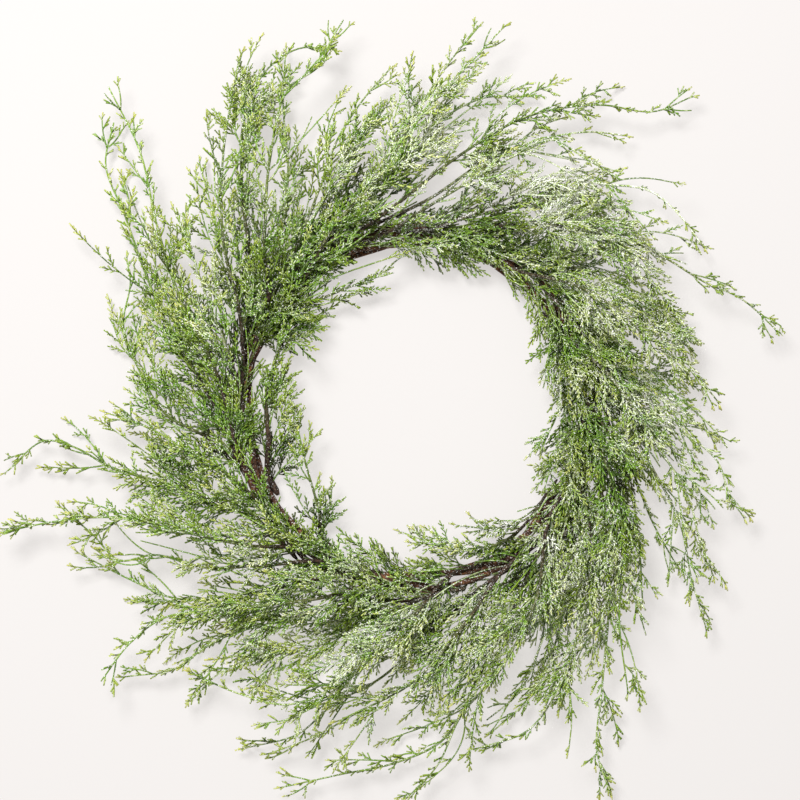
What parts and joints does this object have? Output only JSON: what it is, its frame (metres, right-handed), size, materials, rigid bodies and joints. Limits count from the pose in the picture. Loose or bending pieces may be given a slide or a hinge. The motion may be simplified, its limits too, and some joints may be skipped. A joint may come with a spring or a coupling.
{
  "type": "frosted cedar wreath",
  "caption": "Round wreath of long, feathery, frosted cedar sprays that sweep one way round an open ring of twisted vines bound with wire, to lie flat or hang on a wall.",
  "frame": {"origin": "middle of the underside of the whole wreath's bounding box, on the plane that its back lies on", "axes": "+Z out of the wreath's front, +Y towards the top of the ring as it hangs, +X to the right seen from the front"},
  "size_m": [0.6768, 0.674, 0.094],
  "materials": {
    "cedar": "matt moulded cedar green with a pale crusted frost, browner along the stems",
    "vine": "dry vine bark, unvarnished",
    "wire": "dark brown coated binding wire"
  },
  "bodies": {
    "root": {"vine_a": "vine", "vine_b": "vine", "vine_c": "vine", "vine_d": "vine", "tie_1": "wire", "tie_2": "wire", "tie_3": "wire", "tie_4": "wire", "spray_01": "cedar", "spray_02": "cedar", "spray_03": "cedar", "spray_04": "cedar", "spray_05": "cedar", "spray_06": "cedar", "spray_07": "cedar", "spray_08": "cedar", "spray_09": "cedar", "spray_10": "cedar", "spray_11": "cedar", "spray_12": "cedar", "spray_13": "cedar", "spray_14": "cedar", "spray_15": "cedar", "spray_16": "cedar", "spray_17": "cedar", "spray_18": "cedar", "spray_19": "cedar", "spray_20": "cedar", "spray_21": "cedar", "spray_22": "cedar", "spray_23": "cedar", "spray_24": "cedar", "spray_25": "cedar", "spray_26": "cedar", "spray_27": "cedar", "spray_28": "cedar", "spray_29": "cedar", "spray_30": "cedar", "spray_31": "cedar", "spray_32": "cedar", "spray_33": "cedar", "spray_34": "cedar", "spray_35": "cedar", "spray_36": "cedar", "spray_37": "cedar", "spray_38": "cedar", "spray_39": "cedar", "spray_40": "cedar", "spray_41": "cedar", "spray_42": "cedar", "spray_43": "cedar", "spray_44": "cedar", "spray_45": "cedar", "spray_46": "cedar", "spray_47": "cedar", "spray_48": "cedar", "spray_49": "cedar", "spray_50": "cedar", "spray_51": "cedar", "spray_52": "cedar"}
  },
  "joints": []
}
